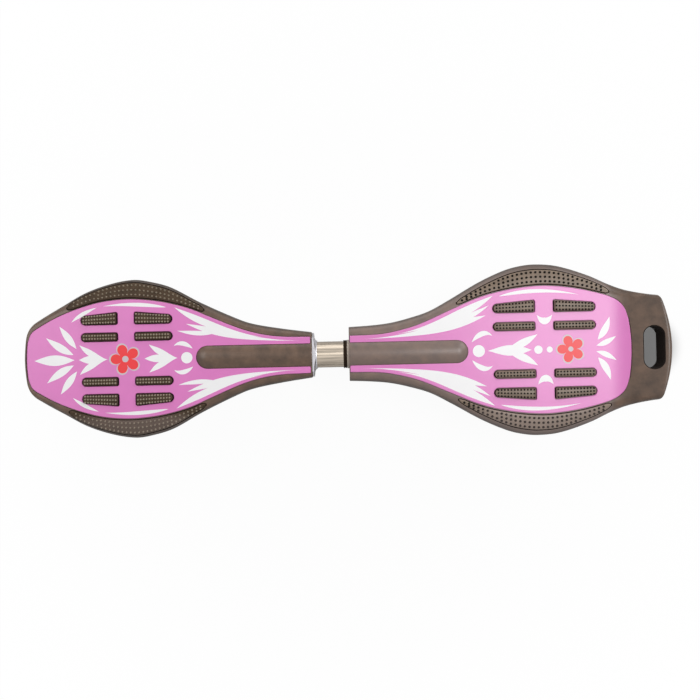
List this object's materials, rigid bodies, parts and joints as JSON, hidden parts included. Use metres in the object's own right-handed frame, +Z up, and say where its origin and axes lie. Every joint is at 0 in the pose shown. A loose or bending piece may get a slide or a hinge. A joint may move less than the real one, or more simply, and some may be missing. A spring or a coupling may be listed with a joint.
{
  "type": "caster board",
  "caption": "Twisting board of two foot decks joined by a sprung tube, each deck on one inclined caster wheel, with a carry handle in the raised tail.",
  "frame": {"origin": "on the ground, under the middle of the board's overall length and width", "axes": "+X from the nose to the carry handle, +Y across the board, +Z up"},
  "size_m": [0.8544, 0.2288, 0.1315],
  "materials": {
    "deck_plastic": "fine moulded grain",
    "panel_plastic": "satin",
    "grip_rubber": "dotted grip",
    "tube_steel": "satin chrome",
    "bolt_steel": "zinc plated",
    "cast_aluminium": "machined",
    "fork_paint": "semi-gloss powder coat",
    "seal_rubber": "smooth",
    "bush_nylon": "smooth",
    "hub_plastic": "moulded",
    "wheel_urethane": "cast urethane"
  },
  "bodies": {
    "front_deck": {"front_deck_shell": "deck_plastic", "front_deck_panel": "panel_plastic", "front_grip_mat_left": "grip_rubber", "front_grip_mat_right": "grip_rubber", "front_rail_strip_left": "grip_rubber", "front_rail_strip_right": "grip_rubber", "front_kingpin_bolt": "bolt_steel", "front_kingpin_nut": "bolt_steel", "front_swivel_upper_race": "bolt_steel", "torsion_tube": "tube_steel", "tube_collar": "cast_aluminium", "front_anchor_plug": "cast_aluminium", "torsion_bar": "bolt_steel", "front_anchor_bolt": "bolt_steel", "front_clamp_bolt": "bolt_steel", "tube_seal_ring": "seal_rubber"},
    "rear_deck": {"rear_deck_shell": "deck_plastic", "rear_deck_panel": "panel_plastic", "rear_grip_mat_left": "grip_rubber", "rear_grip_mat_right": "grip_rubber", "rear_rail_strip_left": "grip_rubber", "rear_rail_strip_right": "grip_rubber", "rear_kingpin_bolt": "bolt_steel", "rear_kingpin_nut": "bolt_steel", "rear_swivel_upper_race": "bolt_steel", "rear_anchor_plug": "cast_aluminium", "rear_anchor_bolt": "bolt_steel", "rear_bush_outer": "bush_nylon", "rear_bush_inner": "bush_nylon"},
    "front_caster": {"front_fork": "fork_paint", "front_swivel_lower_race": "bolt_steel", "front_swivel_ball_ring": "bolt_steel", "front_swivel_seal": "seal_rubber", "front_axle_bolt": "bolt_steel", "front_axle_nut": "bolt_steel", "front_axle_sleeve": "cast_aluminium", "front_axle_washer_left": "bolt_steel", "front_axle_washer_right": "bolt_steel", "front_bearing_inner_left": "bolt_steel", "front_bearing_inner_right": "bolt_steel"},
    "rear_caster": {"rear_fork": "fork_paint", "rear_swivel_lower_race": "bolt_steel", "rear_swivel_ball_ring": "bolt_steel", "rear_swivel_seal": "seal_rubber", "rear_axle_bolt": "bolt_steel", "rear_axle_nut": "bolt_steel", "rear_axle_sleeve": "cast_aluminium", "rear_axle_washer_left": "bolt_steel", "rear_axle_washer_right": "bolt_steel", "rear_bearing_inner_left": "bolt_steel", "rear_bearing_inner_right": "bolt_steel"},
    "front_wheel": {"front_wheel_hub": "hub_plastic", "front_wheel_tyre": "wheel_urethane", "front_bearing_outer_left": "bolt_steel", "front_bearing_outer_right": "bolt_steel"},
    "rear_wheel": {"rear_wheel_hub": "hub_plastic", "rear_wheel_tyre": "wheel_urethane", "rear_bearing_outer_left": "bolt_steel", "rear_bearing_outer_right": "bolt_steel"}
  },
  "joints": [
    {"name": "deck_twist", "type": "hinge", "parent": "front_deck", "child": "rear_deck", "pos_m": [0.00515, 0, 0.09349], "axis": [1, 0, 0], "range_deg": [-30, 30], "stiffness_Nm_per_rad": 20, "deforming": ["torsion_bar"]},
    {"name": "front_caster_swivel", "type": "hinge", "parent": "front_deck", "child": "front_caster", "pos_m": [-0.32775, 0, 0.07336], "axis": [-0.5, 0, 0.866], "continuous": true},
    {"name": "rear_caster_swivel", "type": "hinge", "parent": "rear_deck", "child": "rear_caster", "pos_m": [0.22225, 0, 0.07336], "axis": [-0.5, 0, 0.866], "continuous": true},
    {"name": "front_wheel_spin", "type": "hinge", "parent": "front_caster", "child": "front_wheel", "pos_m": [-0.275, 0, 0.038], "axis": [0, 1, 0], "continuous": true},
    {"name": "rear_wheel_spin", "type": "hinge", "parent": "rear_caster", "child": "rear_wheel", "pos_m": [0.275, 0, 0.038], "axis": [0, 1, 0], "continuous": true}
  ]
}
